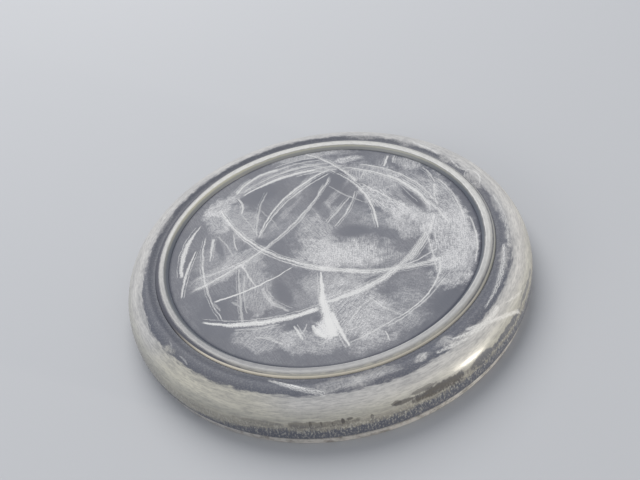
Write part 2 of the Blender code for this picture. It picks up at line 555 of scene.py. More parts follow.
# sweeps on the face, each through three points, in millimetres from the middle of the disc, with
# the widths at the first point, the middle and the last point, and a strength
faceStrokes = [
    # the long double arc from the upper left to the lower right
    sweep((-29.9, 24.5), (-13.4, -3.3), (13.4, -17.5), (0.5, 0.9, 2.2), 0.9),
    sweep((-29.6, 21.5), (-22.0, 6.5), (-12.5, -4.8), (0.4, 0.6, 0.5), 0.55),
    sweep((-29.4, 23.2), (-14.9, -3.4), (3.0, -14.6), (0.3, 0.5, 0.8), 0.7),
    sweep((11.0, -17.1), (22.0, -18.2), (32.0, -17.4), (2.0, 2.0, 1.0), 0.8),
    sweep((20.0, -17.6), (26.0, -16.0), (31.5, -13.3), (1.0, 0.5, 0.4), 0.75),
    sweep((20.0, -18.3), (26.0, -18.9), (31.0, -19.1), (1.0, 0.5, 0.4), 0.7),
    # the broad bright sweep along the lower side, and its branch to the right
    sweep((-36.2, -23.2), (-21.0, -27.5), (-3.6, -26.5), (0.7, 1.9, 1.7), 1.0, combing=0.3),
    sweep((-27.6, -28.0), (-22.0, -29.2), (-15.0, -29.3), (0.5, 1.0, 0.5), 0.5),
    sweep((-3.0, -25.0), (9.0, -22.8), (20.0, -17.0), (1.2, 2.2, 2.6), 0.85, combing=0.4),
    sweep((18.0, -18.2), (25.5, -12.2), (30.2, -5.2), (1.6, 2.6, 1.6), 0.75, combing=0.6),
    sweep((22.5, -16.8), (28.8, -9.5), (34.5, 1.7), (0.5, 1.0, 0.6), 0.7),
    # the double arc that climbs from the left of the middle to the top
    sweep((-18.8, 6.0), (-10.6, 21.1), (7.6, 34.0), (0.5, 1.1, 1.0), 0.85),
    sweep((-18.6, 6.2), (-9.7, 19.7), (7.6, 31.8), (0.5, 0.6, 0.5), 0.8),
    # the arc from the left margin over the middle to the top, with its faint companion
    sweep((-40.1, -11.2), (-17.0, 1.2), (7.4, 30.5), (0.9, 0.8, 0.9), 0.75),
    sweep((-38.8, -6.2), (-20.3, -1.0), (4.5, 27.5), (0.5, 0.7, 0.8), 0.5),
    sweep((-33.0, -16.5), (-21.1, -14.1), (-9.3, -8.8), (0.8, 0.6, 0.35), 0.9, combing=0.3),
    # arcs that fan out over the upper left
    sweep((-22.5, 28.8), (-12.0, 33.7), (3.5, 35.2), (0.6, 1.7, 1.1), 0.9, combing=0.4),
    sweep((1.0, 35.4), (8.0, 35.4), (14.0, 34.2), (1.0, 0.9, 0.5), 0.55),
    sweep((-22.0, 31.0), (-10.0, 36.7), (6.0, 37.6), (0.5, 0.8, 0.7), 0.6),
    sweep((-24.4, 30.0), (-18.0, 37.2), (-9.0, 39.6), (0.8, 1.3, 1.6), 0.8, combing=0.4),
    sweep((-24.6, 31.2), (-22.4, 34.6), (-19.0, 37.8), (0.8, 1.0, 0.5), 0.6),
    sweep((-10.0, 39.4), (-2.0, 40.8), (6.0, 40.0), (1.0, 0.7, 0.5), 0.5),
    sweep((-10.5, 41.3), (-3.0, 42.7), (4.0, 41.9), (0.5, 0.9, 0.6), 0.5),
    sweep((-12.0, 36.0), (0.0, 38.7), (8.0, 37.4), (0.4, 0.6, 0.5), 0.5),
    sweep((-4.0, 33.6), (3.0, 33.9), (10.0, 33.0), (0.4, 0.9, 0.6), 0.55),
    # down the left side
    sweep((-36.1, 18.1), (-40.9, 8.5), (-41.9, -4.5), (0.4, 1.9, 1.2), 0.85, combing=0.25),
    sweep((-37.6, 6.6), (-40.0, -0.5), (-41.9, -12.6), (0.5, 0.9, 0.6), 0.85, combing=0.3),
    sweep((-34.7, 12.5), (-35.5, -5.0), (-30.2, -24.5), (0.5, 0.8, 0.35), 0.75),
    sweep((-32.3, 10.4), (-33.1, 5.6), (-33.6, 0.4), (1.1, 0.9, 0.4), 0.75, combing=0.3),
    sweep((-31.0, 11.0), (-28.2, 5.6), (-26.6, 0.4), (0.5, 0.6, 0.6), 0.4),
    sweep((-26.1, 10.5), (-25.9, 6.0), (-25.2, 2.6), (0.4, 0.6, 0.4), 0.6),
    sweep((-24.3, 28.2), (-22.6, 24.5), (-23.4, 19.4), (0.7, 0.9, 0.6), 0.75, combing=0.3),
    sweep((-23.4, 19.4), (-21.4, 15.0), (-18.6, 7.5), (0.5, 0.4, 0.4), 0.35),
    sweep((-14.2, 28.7), (-17.0, 21.0), (-19.0, 7.0), (0.4, 0.9, 0.5), 0.5),
    sweep((-19.0, 22.0), (-15.0, 16.0), (-12.0, 8.0), (0.3, 0.6, 0.3), 0.3),
    # short strokes left of the middle
    sweep((-24.6, -3.0), (-22.8, -8.0), (-20.5, -14.2), (0.6, 0.7, 0.5), 0.65),
    sweep((-23.3, -8.5), (-24.2, -16.0), (-23.5, -23.5), (0.5, 0.5, 0.3), 0.5),
    sweep((-25.1, -5.0), (-25.3, -15.0), (-24.9, -27.0), (0.5, 0.8, 1.0), 0.5, combing=0.3),
    sweep((-18.8, -14.8), (-16.8, -20.5), (-12.0, -25.6), (0.8, 1.6, 1.0), 0.5, combing=0.6),
    sweep((-32.8, -16.8), (-31.8, -18.4), (-30.9, -20.4), (0.5, 0.9, 0.4), 0.4),
    sweep((-27.6, -17.9), (-26.6, -18.9), (-25.6, -20.6), (0.6, 1.3, 0.6), 0.45),
    # the arcs down the right side
    sweep((11.5, 33.4), (26.0, 22.8), (34.3, 5.0), (0.6, 0.9, 1.2), 0.75),
    sweep((24.6, 25.2), (31.2, 15.2), (34.4, 4.5), (0.7, 1.3, 1.0), 0.8, combing=0.4),
    sweep((17.0, 33.6), (29.5, 23.2), (36.4, 4.0), (0.7, 0.8, 0.7), 0.7),
    sweep((33.8, 8.5), (36.2, 1.5), (37.2, -5.0), (1.4, 0.8, 0.4), 0.75),
    sweep((36.5, 24.8), (38.4, 19.8), (38.6, 15.6), (0.5, 0.9, 0.5), 0.6),
    sweep((38.4, 15.2), (37.2, 11.5), (36.4, 7.0), (0.9, 0.8, 0.5), 0.65),
    sweep((39.0, 19.0), (42.1, 9.0), (42.0, -4.0), (0.4, 0.9, 0.8), 0.65),
    sweep((43.8, -3.0), (42.6, -13.5), (39.4, -21.8), (0.5, 0.7, 0.5), 0.75, combing=0.3),
    sweep((27.7, 34.9), (26.4, 32.2), (25.1, 29.4), (0.9, 1.0, 0.6), 0.85, combing=0.3),
    sweep((29.7, 34.3), (28.8, 32.4), (28.2, 30.3), (0.7, 0.8, 0.5), 0.6),
    sweep((19.0, 29.5), (17.8, 27.5), (16.8, 25.5), (0.6, 0.7, 0.4), 0.5),
    # from the top, down to the right of the middle
    sweep((0.4, 46.0), (8.6, 36.8), (15.2, 24.0), (0.8, 1.0, 1.2), 0.8),
    sweep((-4.5, 41.6), (5.0, 36.0), (9.4, 31.0), (0.4, 0.8, 0.7), 0.5),
    sweep((9.2, 31.2), (15.6, 19.6), (17.4, 9.0), (0.5, 0.9, 0.9), 0.75),
    sweep((17.3, 12.0), (17.5, 6.0), (17.0, 0.0), (0.8, 0.9, 0.4), 0.85, combing=0.3),
    sweep((16.2, 23.0), (21.8, 14.8), (27.8, 6.2), (0.5, 0.6, 0.5), 0.6),
    sweep((28.0, 18.5), (29.6, 12.5), (31.2, 8.0), (0.3, 0.5, 0.3), 0.4),
    sweep((13.9, 19.8), (10.9, 12.8), (4.4, 4.2), (0.5, 0.8, 0.4), 0.7),
    sweep((12.0, 17.6), (7.4, 12.2), (2.6, 7.0), (0.5, 0.9, 0.5), 0.6),
    sweep((5.8, 25.2), (10.2, 18.9), (16.4, 12.4), (0.4, 0.7, 0.4), 0.45),
    # the double arc round the lower right
    sweep((30.9, -18.0), (25.8, -27.9), (15.5, -35.0), (0.5, 0.5, 0.4), 0.8, combing=0.3),
    sweep((30.3, -24.8), (22.0, -32.3), (11.5, -37.6), (0.4, 0.6, 0.5), 0.6),
    sweep((16.5, -34.5), (10.0, -37.3), (1.4, -40.4), (0.5, 0.6, 0.5), 0.6),
    sweep((29.8, 0.5), (29.9, -9.0), (28.8, -23.0), (0.3, 0.45, 0.3), 0.6),
    sweep((30.6, -18.6), (29.5, -22.6), (27.6, -25.4), (0.4, 0.7, 0.4), 0.6),
    sweep((9.0, -26.0), (12.5, -31.0), (17.0, -35.0), (0.5, 0.8, 0.5), 0.45),
    sweep((9.2, -27.4), (5.4, -30.4), (2.0, -35.2), (0.4, 0.6, 0.4), 0.5),
    sweep((10.8, -38.6), (11.2, -40.5), (11.6, -42.3), (0.3, 0.6, 0.3), 0.7),
    sweep((1.0, -36.4), (3.4, -36.0), (5.6, -35.6), (0.3, 0.4, 0.3), 0.6),
    # the bright wedge that crosses the lower sweep, and the solid patch beside it
    sweep((-4.4, -32.2), (-3.6, -34.4), (-2.0, -37.4), (1.0, 2.4, 2.6), 0.8, combing=0.4),
    sweep((-1.9, -13.0), (-2.5, -19.0), (-3.1, -26.5), (0.5, 1.3, 2.4), 0.95, combing=0.15),
    sweep((-2.8, -24.5), (-2.5, -30.0), (-1.9, -37.6), (2.6, 3.0, 3.4), 0.95, combing=0.15),
    sweep((-1.4, -28.5), (-0.1, -35.0), (1.7, -41.4), (1.4, 1.4, 0.6), 0.9, combing=0.15),
    sweep((-6.7, -31.8), (-5.6, -34.6), (-3.6, -37.2), (0.8, 2.2, 1.4), 0.9, combing=0.25),
    sweep((-3.4, -37.3), (-4.4, -38.2), (-6.0, -38.8), (1.2, 0.8, 0.4), 0.5, combing=0.6),
    sweep((-11.6, -31.0), (-10.6, -33.8), (-9.8, -36.4), (0.5, 0.9, 0.5), 0.8, combing=0.5),
    sweep((-8.2, -31.0), (-8.8, -32.6), (-10.2, -34.2), (0.3, 0.5, 0.3), 0.6),
    sweep((-22.2, -32.2), (-17.6, -34.0), (-15.0, -36.2), (0.6, 1.1, 0.6), 0.5, combing=0.6),
]

# haze on the face: centre and half sizes in millimetres, how far the patch is turned, its
# strength, and which of the hatch directions fills it
hatchTurns = (8, 42, 78, 112, 150)
faceClouds = [
    dustPatch((4, -30), (11, 13), 0, 0.70, hatch=1, softness=0.5),
    dustPatch((11, -34), (10, 8), 25, 0.45, hatch=4),
    dustPatch((7, -8), (15, 8), -12, 0.85, hatch=2, softness=0.6),
    dustPatch((-2, -4), (9, 8), 20, 0.55, hatch=3),
    dustPatch((5, -10), (10, 5), -8, 0.60, hatch=0),
    dustPatch((0, 5), (9, 13), -20, 0.48, hatch=3),
    dustPatch((-2, -18), (7, 8), 0, 0.45, hatch=1),
    dustPatch((8, -18), (8, 5), -15, 0.35, hatch=0),
    dustPatch((18, -15), (8, 4), 10, 0.26, hatch=2),
    dustPatch((36, -10), (8.5, 18), -3, 0.85, hatch=2, softness=0.4),
    dustPatch((40.5, -12), (4.5, 11), -10, 0.60, hatch=1),
    dustPatch((-3.4, -33.9), (3.2, 3.8), 20, 1.0, hatch=0, softness=0.3),
    dustPatch((-3.2, -34.2), (3.0, 3.6), 20, 1.0, hatch=1, softness=0.3),
    dustPatch((1, 44.2), (16, 2.2), -2, 0.55, hatch=0),
    dustPatch((-12, 37), (14, 3.5), 24, 0.28, hatch=1),
    dustPatch((-3, 27), (15, 2.2), 50, 0.40, hatch=1),
    dustPatch((5, 17), (15, 1.8), 50, 0.42, hatch=1),
    dustPatch((-9, 16), (12, 1.6), 50, 0.34, hatch=1),
    dustPatch((30, 8), (7, 20), 14, 0.34, hatch=3),
    dustPatch((20, 4), (12, 6), -14, 0.34, hatch=4),
    dustPatch((-3, -22), (18, 7), 6, 0.22, hatch=0),
    dustPatch((-26, 8), (9, 12), 0, 0.20, hatch=2),
    dustPatch((39.5, 6), (4.5, 19), 5, 0.55, hatch=3, softness=0.4),
    dustPatch((28, 0), (8, 9), 0, 0.65, hatch=2, softness=0.4),
    dustPatch((34, -22), (8, 7.5), 45, 0.65, hatch=1, softness=0.3),
    dustPatch((21.5, 11.5), (4.2, 14), 29, 0.85, hatch=3, softness=0.4),
    dustPatch((21, 26), (12, 8), -42, 0.62, hatch=2, softness=0.6),
    dustPatch((34, 17), (6, 12), 22, 0.45, hatch=3),
    dustPatch((34, 29), (5, 7), 35, 0.62, hatch=2, softness=0.5),
    dustPatch((14, 37.5), (6, 2.0), -4, 0.75, hatch=0, softness=0.4),
    dustPatch((5, 37), (12, 5), -4, 0.35, hatch=0, softness=0.6),
    dustPatch((13, 42.5), (7, 2.4), -18, 0.30, hatch=0),
    dustPatch((-30, 25.5), (7.5, 4.2), 38, 0.80, hatch=1, softness=0.35),
    dustPatch((-31, 18), (4, 8), 20, 0.60, hatch=3, softness=0.45),
    dustPatch((-23, 15), (6, 12), 20, 0.42, hatch=4, softness=0.4),
    dustPatch((-32, 0), (8, 8), 0, 0.22, hatch=0, softness=0.4),
    dustPatch((-23, -1), (8, 4.5), 15, 0.45, hatch=1, softness=0.4),
    dustPatch((-32, -6.5), (9, 3.6), 18, 0.50, hatch=1, softness=0.35),
    dustPatch((-20.5, -14), (5, 13), 3, 0.45, hatch=2, softness=0.3),
    dustPatch((-19, -33), (9, 5.0), -16, 0.50, hatch=1, softness=0.35),
    dustPatch((-8, -37.5), (9, 4.5), -18, 0.50, hatch=4, softness=0.35),
    dustPatch((-12, 10), (8, 6), 30, 0.18, hatch=1),
    dustPatch((-23.5, 30.5), (6, 3.4), 25, 0.42, hatch=1),
    dustPatch((6.0, -41.5), (7, 3.4), 8, 0.50, hatch=4),
    dustPatch((20, -31), (6, 6), 30, 0.30, hatch=4),
    dustPatch((18, -37.5), (6, 3), 25, 0.35, hatch=1),
    dustPatch((10, 8), (9, 8), 0, 0.16, hatch=4),
    dustPatch((22, -26), (9, 7), 30, 0.20, hatch=4),
]

# places on the face that the haze has missed
faceBarePatches = [
    dustPatch((-15, 27.8), (7.5, 4.6), 28, 1.0),
    dustPatch((8.5, 25), (3.4, 7), 18, 0.95),
    dustPatch((2.0, 14), (2.4, 7), 14, 0.8),
    dustPatch((9, 1.2), (7, 3.6), -12, 0.9),
    dustPatch((14.4, 14.6), (1.8, 3.0), 0, 0.8),
    dustPatch((-7.5, 20.5), (3.4, 2.4), 45, 0.7),
    dustPatch((-12.4, 13.5), (2.4, 5), 30, 0.5),
    dustPatch((-13.2, -19), (2.8, 7), 14, 0.95),
    dustPatch((-13.5, -1.6), (4.2, 3.0), -40, 0.7),
    dustPatch((6.2, 6.5), (4.0, 3.6), 0, 0.6),
    dustPatch((30.3, 9.8), (1.7, 9.6), 17, 0.95),
    dustPatch((30.9, -8.0), (1.0, 2.6), 0, 0.8),
    dustPatch((27.6, -13.8), (1.6, 1.6), 0, 0.8),
    dustPatch((-30.5, 4.5), (1.6, 6.5), 12, 0.8),
    dustPatch((-12.5, -31.2), (3.4, 1.4), 0, 0.8),
    dustPatch((-5.4, -30.2), (1.5, 1.5), 0, 0.9),
    dustPatch((-33, -19), (7, 6), 0, 0.9),
    dustPatch((11.5, -20), (3.6, 1.0), 14, 0.7),
    dustPatch((39.0, -20.5), (2.0, 4.2), -25, 0.35),
]

faceWear = {
    "straying": 0.8,          # how far the strokes wander off their arcs
    "drift": (0.02, 0.15),    # dust between the patches
    "margin": (44.8, 46.0),   # the haze ends here, next to the ring
    "marginDust": 0.08,
    "farReach": 1.8,          # it runs this much further out at the far side
    "hazeGain": 1.08,
    "hatchLow": 0.28,
    "broadStroke": 0.8,       # strokes at least this wide get a thin one beside them
    "roughness": (0.46, 0.62),
    "bump": (0.2, 0.00006),
}


def faceMaterial():
    material, tree, shader, place = startMaterial("faceFinish")
    flat = vectorCalc(tree, "MULTIPLY", place, (1.0, 1.0, 0.0))
    wobble = noise(tree, flat, 0.25, 2.0, 0.6, "2D")
    shifted = vectorCalc(tree, "SUBTRACT", wobble.outputs["Color"], (0.5, 0.5, 0.5))
    strayed = vectorCalc(tree, "ADD", flat, vectorCalc(tree, "SCALE", shifted, scale=faceWear["straying"]))
    wander = ramp(tree, noise(tree, flat, 0.20, 8.0, 0.72, "2D").outputs["Fac"], 0.25, 0.75, 0.22, 0.78)
    hatches = []
    for angle in hatchTurns:
        node = placeGroup(tree, hatching, Place=flat, Turn=math.radians(angle), Low=faceWear["hatchLow"])
        hatches.append(node.outputs["Hatch"])
    # a trace of dust nearly everywhere, thicker in drifts
    drifts = noise(tree, flat, 0.045, 3.0, 0.6, "2D").outputs["Fac"]
    haze = calc(tree, "MULTIPLY", hatches[3], ramp(tree, drifts, 0.35, 0.65, *faceWear["drift"]))
    for cloud in faceClouds:
        haze = addCloud(tree, flat, haze, cloud, wander, hatches)
    bare = 0.0
    for patch in faceBarePatches:
        bare = addCloud(tree, flat, bare, patch, wander, [1.0])
    haze = calc(tree, "MULTIPLY", haze, calc(tree, "SUBTRACT", 1.0, bare))
    # the margin next to the ring stays dark
    fromMiddle = vectorCalc(tree, "LENGTH", flat)
    edge = calc(tree, "ADD", fromMiddle, calc(tree, "MULTIPLY", calc(tree, "SUBTRACT", wander, 0.5), 2.0))
    farSide = vectorCalc(tree, "DOT_PRODUCT", flat, (0.0, 1.0, 0.0))
    edge = calc(tree, "SUBTRACT", edge, ramp(tree, farSide, 38.0, 43.0, 0.0, faceWear["farReach"]))
    haze = calc(tree, "MULTIPLY", haze, ramp(tree, edge, *faceWear["margin"], 1.0, faceWear["marginDust"]))
    haze = calc(tree, "MULTIPLY", haze, faceWear["hazeGain"])
    grit = noise(tree, flat, 2.1, 3.0, 0.6, "2D").outputs["Fac"]
    strokes = 0.0
    for index, stroke in enumerate(faceStrokes):
        strokes = addStroke(tree, strayed, strokes, stroke, wander, grit)
        if stroke["widths"][1] >= faceWear["broadStroke"]:
            strokes = addStroke(tree, strayed, strokes, besideStroke(stroke, (-1) ** index), wander, grit)
    grain = placeGroup(tree, fineGrain, Place=place)
    black = blendColour(tree, grain.outputs["Cloud"], blackTone, blackToneWarm)
    speckle = ramp(tree, noise(tree, flat, 3.1, 2.0, 0.6, "2D").outputs["Fac"], 0.30, 0.70, 0.62, 1.22)
    dusted = blendColour(tree, calc(tree, "MULTIPLY", haze, speckle), black, hazeTone)
    tree.links.new(blendColour(tree, strokes, dusted, strokeAndHighlightTone), shader.inputs["Base Color"])
    worn = strongest(tree, [haze, strokes])
    tree.links.new(ramp(tree, worn, 0.0, 1.0, *faceWear["roughness"]), shader.inputs["Roughness"])
    addBump(tree, shader, grain.outputs["Grain"], *faceWear["bump"])
    return material


# marks round the rim, seen from above like those on the face
rimStrokes = [
    sweep((-19.6, -47.0), (-14.0, -50.7), (-6.0, -54.4), (0.9, 1.5, 1.8), 0.6, combing=0.7),
    sweep((-18.4, -47.4), (-14.6, -50.0), (-10.6, -52.2), (0.3, 0.8, 0.4), 0.9),
    sweep((-44.4, -28.6), (-43.6, -30.6), (-43.8, -32.6), (0.3, 0.6, 0.4), 0.2),
    sweep((-41.6, -34.2), (-40.2, -35.8), (-39.4, -37.6), (0.3, 0.7, 0.5), 0.3),
    sweep((-8.0, -54.6), (2.0, -53.0), (13.0, -52.0), (0.8, 1.6, 0.8), 0.2, combing=0.9),
    sweep((21.0, -49.6), (25.0, -48.4), (30.0, -46.6), (0.8, 1.2, 0.6), 0.6, combing=0.7),
    sweep((25.5, -46.6), (32.0, -45.0), (40.0, -38.5), (0.5, 1.5, 1.0), 0.7, combing=0.6),
    sweep((29.5, -44.7), (38.2, -42.1), (46.2, -37.6), (0.9, 0.9, 0.6), 0.7, combing=0.4),
    sweep((36.0, -39.5), (43.5, -30.0), (48.5, -18.0), (0.6, 1.6, 0.8), 0.6, combing=0.8),
    sweep((49.0, -20.2), (52.2, -8.3), (52.6, 3.0), (0.5, 1.4, 0.8), 0.5, combing=0.8),
    sweep((50.4, 9.0), (51.6, 13.5), (49.0, 17.0), (0.3, 0.7, 0.4), 0.7),
    sweep((49.0, 17.0), (47.6, 14.0), (50.2, 9.6), (0.3, 0.6, 0.3), 0.6),
    sweep((46.0, 24.5), (46.9, 20.5), (48.6, 17.0), (0.4, 0.8, 0.4), 0.6),
    sweep((36.8, 37.5), (40.6, 32.6), (43.6, 27.6), (0.5, 1.2, 0.8), 0.6, combing=0.6),
    sweep((42.0, -37.8), (44.6, -36.2), (48.2, -33.0), (0.3, 0.5, 0.3), 0.5),
]
rimClouds = [
    dustPatch((-1.5, -52.6), (9.0, 2.6), 3, 0.38, hatch=0),
    dustPatch((5.0, -51.6), (7.0, 2.2), 8, 0.42, hatch=1),
    dustPatch((17.3, -50.0), (3.0, 1.3), 22, 0.75, hatch=1),
    dustPatch((24.0, -46.6), (3.4, 1.8), 30, 0.60, hatch=4),
    dustPatch((28.5, -46.4), (5.0, 1.6), 32, 0.70, hatch=1),
    dustPatch((46.8, -23.6), (8.5, 1.8), 62, 0.50, hatch=2),
    dustPatch((51.2, -16.0), (7.0, 1.6), 72, 0.50, hatch=3),
    dustPatch((52.0, -2.0), (9.0, 1.2), 88, 0.40, hatch=2),
    dustPatch((50.0, 12.5), (6.0, 2.2), 104, 0.60, hatch=2),
    dustPatch((45.5, 25.0), (7.0, 2.2), 118, 0.60, hatch=0),
    dustPatch((35.5, 38.0), (7.0, 1.8), 136, 0.55, hatch=0),
    dustPatch((22.0, 47.0), (8.0, 1.4), 155, 0.40, hatch=4),
    dustPatch((-44.8, -31.0), (3.2, 1.6), -50, 0.50, hatch=1),
    dustPatch((-47.6, 21.0), (9.0, 1.1), 66, 0.35, hatch=2),
]

# the bare patches low on the shoulder, painted brown as a painted warm reflection: angle round the disc,
# height, half sizes
sidePatches = [
    {"angle": 266.5, "height": 8.6, "size": (0.5, 0.9), "strength": 1.0},
    {"angle": 268, "height": 8.9, "size": (0.9, 0.5), "strength": 0.8},
    {"angle": 259, "height": 8.4, "size": (0.35, 0.8), "strength": 0.7},
    {"angle": 261.5, "height": 8.5, "size": (0.4, 0.8), "strength": 0.7},
    {"angle": 264, "height": 8.3, "size": (0.35, 0.7), "strength": 0.7},
    {"angle": 273, "height": 8.2, "size": (0.5, 0.8), "strength": 0.7},
    {"angle": 281, "height": 9.4, "size": (3.2, 0.5), "strength": 0.8},
    {"angle": 294, "height": 7.2, "size": (2.4, 0.8), "strength": 0.9},
    {"angle": 279, "height": 9.7, "size": (1.4, 0.5), "strength": 0.7},
    {"angle": 290, "height": 8.6, "size": (8.5, 1.3), "strength": 0.95},
    {"angle": 286, "height": 10.2, "size": (4.0, 0.5), "strength": 0.6},
    {"angle": 303, "height": 8.2, "size": (8.0, 1.3), "strength": 0.85},
    {"angle": 315, "height": 8.3, "size": (8.0, 1.0), "strength": 0.8},
    {"angle": 328, "height": 8.8, "size": (7.0, 0.7), "strength": 0.6},
    {"angle": 262, "height": 8.2, "size": (9.0, 1.0), "strength": 0.6},
    {"angle": 247, "height": 8.2, "size": (7.0, 0.7), "strength": 0.35},
]


def roundNoise(tree, around, across, roundScale, acrossScale, detail, roughness):
    # noise in strips that follow the rim
    strip = vectorCalc(tree, "SCALE", around, scale=roundScale)
    lift = tree.nodes.new("ShaderNodeCombineXYZ")
    tree.links.new(calc(tree, "MULTIPLY", across, acrossScale), lift.inputs["Z"])
    place = vectorCalc(tree, "ADD", strip, lift.outputs["Vector"])
    return noise(tree, place, 1.0, detail, roughness).outputs["Fac"]


bodyWear = {
    "bandStart": (52.1, 55.0),     # where the rubbed band starts, at the back and at the front
    "bandFoot": (5.8, 7.6),        # heights between which it fades out
    "leftReach": 2.6,              # it comes this much lower at the left
    "hatchLow": 0.35,
    "roughness": (0.21, 0.54),     # on the side and on the top
    "bump": (0.45, 0.00010),
}


def bodyMaterial():
    material, tree, shader, place = startMaterial("bodyFinish")
    polar = placeGroup(tree, polarPlace, Place=place)
    radius, height, around = (polar.outputs[name] for name in ("Radius", "Height", "Round"))
    toRight = vectorCalc(tree, "DOT_PRODUCT", around, (1.0, 0.0, 0.0))
    toFront = vectorCalc(tree, "DOT_PRODUCT", around, (0.0, -1.0, 0.0))
    grain = placeGroup(tree, fineGrain, Place=place)
    lines = placeGroup(tree, turnedLines, Radius=radius, Height=height, Round=around, Pitch=0.30)
    flat = vectorCalc(tree, "MULTIPLY", place, (1.0, 1.0, 0.0))
    across = calc(tree, "SUBTRACT", radius, height)
    # the rubbed band starts further out at the front than at the back, with a frayed edge
    border = ramp(tree, toFront, -0.26, 0.57, *bodyWear["bandStart"])
    border = calc(tree, "SUBTRACT", border, ramp(tree, toRight, 0.3, 0.9, 0.0, 0.5))
    torn = roundNoise(tree, around, across, 11.0, 0.8, 5.0, 0.65)
    fibres = roundNoise(tree, around, across, 26.0, 2.2, 3.0, 0.65)
    ragged = calc(tree, "MULTIPLY_ADD", calc(tree, "SUBTRACT", torn, 0.5), 2.0,
                  calc(tree, "MULTIPLY", calc(tree, "SUBTRACT", fibres, 0.5), 1.3))
    past = calc(tree, "SUBTRACT", calc(tree, "ADD", radius, ragged), border)
    inner = calc(tree, "MULTIPLY", ramp(tree, past, -0.5, 0.4), ramp(tree, past, 0.0, 2.2, 0.75, 1.0))
    # fine upright scratches fray the lower edge, and stray below it as dashes
    fray = noise(tree, vectorCalc(tree, "MULTIPLY", place, (1.6, 1.6, 0.22)), 1.0, 4.0, 0.7).outputs["Fac"]
    low = calc(tree, "MULTIPLY_ADD", calc(tree, "SUBTRACT", fray, 0.5), 3.6, height)
    low = calc(tree, "MULTIPLY_ADD", calc(tree, "SUBTRACT", torn, 0.5), 3.0, low)
    low = calc(tree, "ADD", low, ramp(tree, toRight, -0.75, -0.25, bodyWear["leftReach"], 0.0))
    lower = ramp(tree, low, *bodyWear["bandFoot"])
    dash = noise(tree, vectorCalc(tree, "MULTIPLY", place, (2.4, 2.4, 1.1)), 1.0, 3.0, 0.7).outputs["Fac"]
    dashes = calc(tree, "MULTIPLY", ramp(tree, dash, 0.50, 0.64), ramp(tree, height, 2.8, 6.4, 0.12, 0.45))
    dashes = calc(tree, "MULTIPLY", dashes, ramp(tree, height, 7.0, 9.0, 1.0, 0.0))
    # lines and mottling inside the band
    drift = roundNoise(tree, around, across, 5.0, 0.35, 4.0, 0.6)
    streaky = calc(tree, "MULTIPLY", ramp(tree, fibres, 0.30, 0.62, 0.66, 1.0),
                   ramp(tree, lines.outputs["Line"], 0.30, 0.60, 0.84, 1.0))
    streaky = calc(tree, "MULTIPLY", streaky, ramp(tree, drift, 0.35, 0.62, 0.80, 1.0))
    band = calc(tree, "MULTIPLY", calc(tree, "MULTIPLY", inner, lower), streaky)
    # bare patches, placed round the rim
    wander = ramp(tree, noise(tree, flat, 0.3, 4.0, 0.65, "2D").outputs["Fac"], 0.25, 0.75, 0.20, 0.80)
    grit = noise(tree, flat, 2.1, 3.0, 0.6, "2D").outputs["Fac"]
    bare = 0.0
    for patch in sidePatches:
        angle = math.radians(patch["angle"])
        onward = (-math.sin(angle), math.cos(angle), 0.0)
        unrolled = tree.nodes.new("ShaderNodeCombineXYZ")
        facing = vectorCalc(tree, "DOT_PRODUCT", around, (math.cos(angle), math.sin(angle), 0.0))
        away = calc(tree, "MULTIPLY", ramp(tree, facing, 0.0, 0.4, 1.0, 0.0), 100.0)
        sideways = vectorCalc(tree, "DOT_PRODUCT", place, onward)
        tree.links.new(calc(tree, "ADD", calc(tree, "ABSOLUTE", sideways), away), unrolled.inputs["X"])
        tree.links.new(height, unrolled.inputs["Y"])
        shape = dustPatch((0.0, patch["height"]), patch["size"], 0, patch["strength"], softness=0.3)
        bare = addCloud(tree, unrolled.outputs["Vector"], bare, shape, wander, [1.0])
    hatches = []
    for turnAngle in hatchTurns:
        node = placeGroup(tree, hatching, Place=flat, Turn=math.radians(turnAngle), Low=bodyWear["hatchLow"])
        hatches.append(node.outputs["Hatch"])
    strays = calc(tree, "MULTIPLY", hatches[0], 0.04)
    for cloud in rimClouds:
        strays = addCloud(tree, flat, strays, cloud, wander, hatches)
    strokes = 0.0
    for stroke in rimStrokes:
        strokes = addStroke(tree, flat, strokes, stroke, wander, grit)
    strokes = calc(tree, "MULTIPLY", strokes, ramp(tree, height, 5.5, 7.5))
    onTop = calc(tree, "MULTIPLY", strays, ramp(tree, height, 12.2, 12.9))
    black = blendColour(tree, grain.outputs["Cloud"], blackTone, blackToneWarm)
    black = blendColour(tree, ramp(tree, height, 5.0, 11.0), underTone, black)
    black = blendColour(tree, ramp(tree, dash, 0.42, 0.75, 0.0, 0.16), black, powderTone)
    # the rubbed band is darker and greener lower down, and olive low at the front: partly its own tone,
    # partly painted shade on the steeper slope that faces away from the lamps
    powderAndPaintedLight = blendColour(tree, ramp(tree, height, 9.4, 12.8), greenTone, powderTone)
    lowToneAndShade = calc(tree, "MULTIPLY", ramp(tree, height, 6.4, 10.6, 1.0, 0.0),
                    ramp(tree, toFront, -0.4, 0.5, 0.25, 1.0))
    powderAndPaintedLight = blendColour(tree, lowToneAndShade, powderAndPaintedLight, oliveTone)
    # a painted warm sheen on the shoulder at the lower left
    towardsPaintedSheen = vectorCalc(tree, "DOT_PRODUCT", around, (-0.616, -0.788, 0.0))
    paintedWarmLight = calc(tree, "MULTIPLY", ramp(tree, towardsPaintedSheen, 0.90, 1.0),
                  ramp(tree, height, 9.0, 11.5, 0.2, 0.8))
    powderAndPaintedLight = blendColour(tree, paintedWarmLight, powderAndPaintedLight, warmTone)
